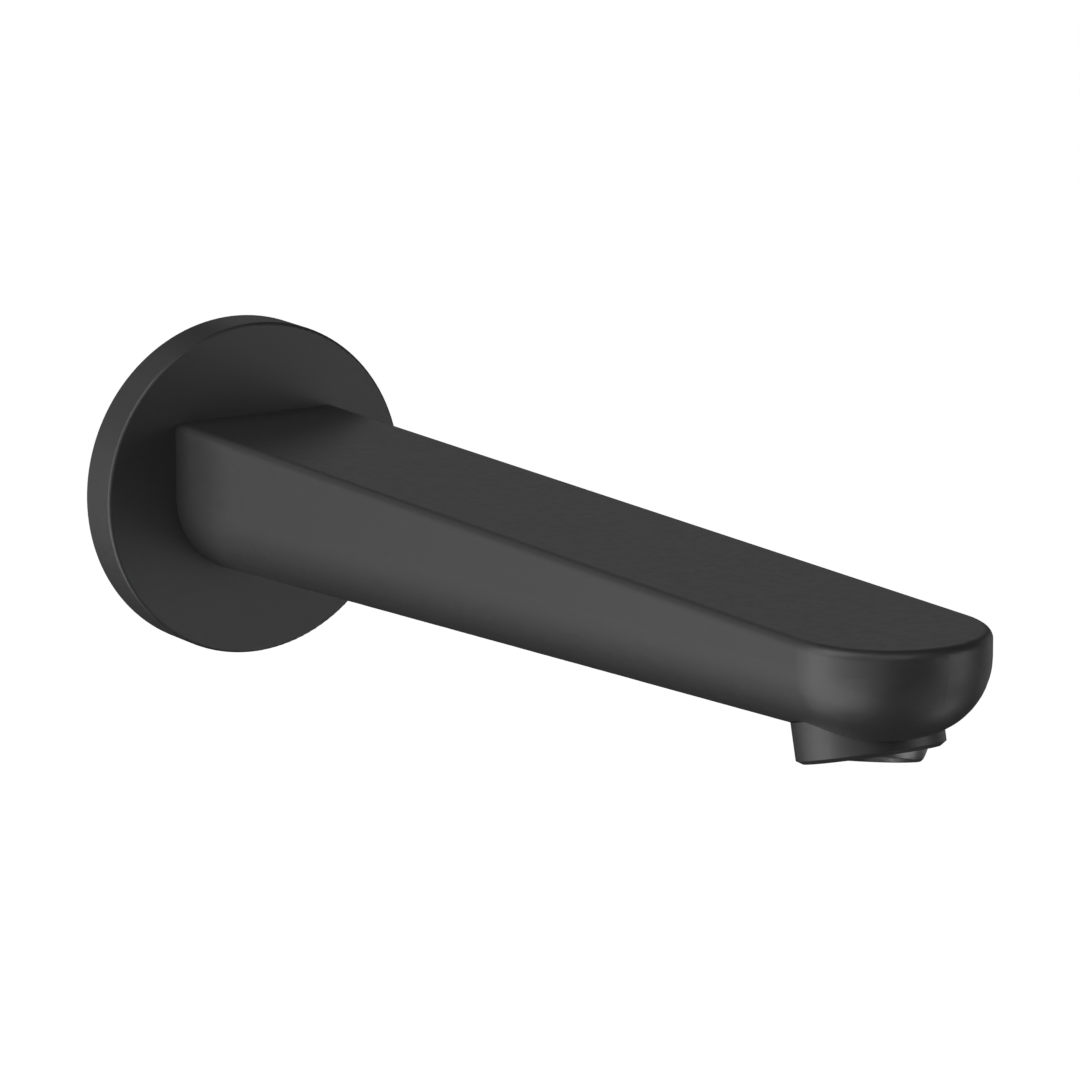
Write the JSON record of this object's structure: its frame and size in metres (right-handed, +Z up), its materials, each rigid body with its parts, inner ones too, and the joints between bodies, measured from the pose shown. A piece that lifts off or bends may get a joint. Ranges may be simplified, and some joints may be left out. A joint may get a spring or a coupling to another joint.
{
  "type": "bath spout",
  "caption": "Wall-mounted bath spout: straight flat-topped body with a half-round tip, round wall flange, threaded inlet and a ball-jointed outlet nozzle.",
  "frame": {"origin": "centre of the wall flange's back face, on the axis of the inlet thread, in the plane of the finished wall", "axes": "+Y into the wall along the inlet thread, -Y along the spout to its tip, +Z up, +X to the right seen from the front"},
  "size_m": [0.06, 0.2315, 0.06],
  "materials": {
    "matt_black": "matt black coating with a soft sheen",
    "bare_brass": "turned, uncoated",
    "seal_rubber": "moulded rubber",
    "foam_rubber": "closed-cell foam",
    "fibre_seal": "pressed fibre washer",
    "stainless_steel": "bare stainless steel",
    "nozzle_black": "dark, half gloss",
    "dark_plastic": "moulded, satin",
    "white_plastic": "moulded, satin"
  },
  "bodies": {
    "spout": {"spout_body": "matt_black", "wall_flange": "matt_black", "wall_gasket": "foam_rubber", "neck_ring": "seal_rubber", "inlet_nipple": "bare_brass", "spigot_ring_rear": "seal_rubber", "spigot_ring_front": "seal_rubber", "face_seal": "fibre_seal", "grub_screw": "stainless_steel", "outlet_housing": "dark_plastic", "housing_washer": "seal_rubber", "ball_ring": "seal_rubber", "splitter_plate": "white_plastic", "flow_regulator": "white_plastic", "regulator_ring": "seal_rubber", "inlet_strainer": "white_plastic"},
    "nozzle": {"swivel_nozzle": "nozzle_black", "outlet_grid": "dark_plastic", "lower_screen": "stainless_steel", "screen_spacer": "white_plastic", "upper_screen": "stainless_steel", "screen_retainer": "white_plastic"}
  },
  "joints": [
    {"name": "nozzle_swivel", "type": "hinge", "parent": "spout", "child": "nozzle", "pos_m": [0, -0.19578, -0.00346], "axis": [0.0993, 0.9611, -0.2575], "range_deg": [-27, 3]}
  ]
}
